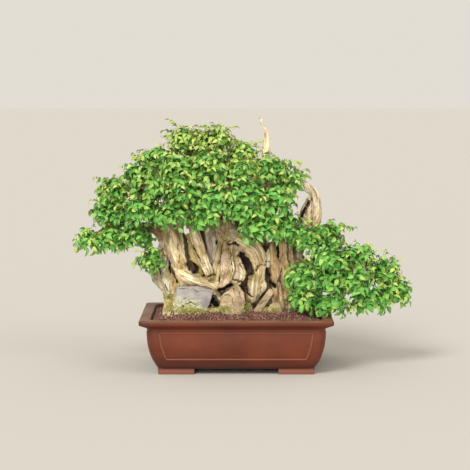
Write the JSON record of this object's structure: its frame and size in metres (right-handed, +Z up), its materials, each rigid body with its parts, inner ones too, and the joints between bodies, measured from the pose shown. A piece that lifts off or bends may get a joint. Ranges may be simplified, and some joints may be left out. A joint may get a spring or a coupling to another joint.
{
  "type": "crepe myrtle bonsai in a pot",
  "caption": "Old hollow-trunked bonsai with bleached dead wood, leafy sprays and a cascading limb, in a rectangular unglazed clay pot with soil and stones.",
  "frame": {"origin": "on the surface that the pot stands on, under the middle of the whole object's box", "axes": "+X along the pot's length towards the cascading limb, +Y from the front to the back, +Z up"},
  "size_m": [0.8938, 0.37, 0.6713],
  "materials": {
    "clay": "matte",
    "soil": "matte",
    "wood": "matte",
    "leaf_green": "satin",
    "leaf_deep": "satin",
    "leaf_bright": "satin",
    "slate": "matte",
    "ochre_stone": "matte",
    "plastic": "matte"
  },
  "bodies": {
    "root": {"drain_screen_left": "plastic", "drain_screen_right": "plastic", "pot": "clay", "soil": "soil", "spray_back_centre_low": "leaf_deep", "spray_back_crown_left": "leaf_deep", "spray_back_crown_right": "leaf_deep", "spray_back_left": "leaf_deep", "spray_back_left_low": "leaf_deep", "spray_back_right": "leaf_deep", "spray_back_right_low": "leaf_deep", "spray_cascade_back": "leaf_deep", "spray_cascade_base": "leaf_green", "spray_cascade_centre": "leaf_green", "spray_cascade_drop": "leaf_green", "spray_cascade_front": "leaf_green", "spray_cascade_front_top": "leaf_green", "spray_cascade_inner": "leaf_green", "spray_cascade_low_front": "leaf_green", "spray_cascade_mid": "leaf_green", "spray_cascade_out": "leaf_bright", "spray_cascade_tip": "leaf_bright", "spray_cascade_top": "leaf_bright", "spray_cascade_under": "leaf_green", "spray_crown_back_top": "leaf_deep", "spray_crown_centre_right": "leaf_green", "spray_crown_front_left": "leaf_green", "spray_crown_front_right": "leaf_green", "spray_crown_left": "leaf_green", "spray_crown_peak_left": "leaf_bright", "spray_crown_peak_right": "leaf_bright", "spray_crown_right": "leaf_bright", "spray_edge_right": "leaf_bright", "spray_front_centre": "leaf_green", "spray_front_left": "leaf_green", "spray_front_mid": "leaf_green", "spray_front_right": "leaf_green", "spray_hang_far_right": "leaf_green", "spray_hang_right": "leaf_green", "spray_left_inner": "leaf_green", "spray_left_outer": "leaf_green", "spray_left_sprig": "leaf_bright", "spray_left_tip": "leaf_bright", "spray_low_centre": "leaf_green", "spray_low_centre_left": "leaf_green", "spray_low_centre_right": "leaf_green", "spray_low_left": "leaf_green", "spray_mid_left": "leaf_green", "spray_shoulder_left": "leaf_green", "spray_shoulder_right": "leaf_green", "spray_side_right": "leaf_green", "spray_upper_left": "leaf_bright", "stone_grey_slab": "slate", "stone_oblong": "ochre_stone", "stone_pale": "ochre_stone", "stone_small": "ochre_stone", "tree": "wood"}
  },
  "joints": []
}
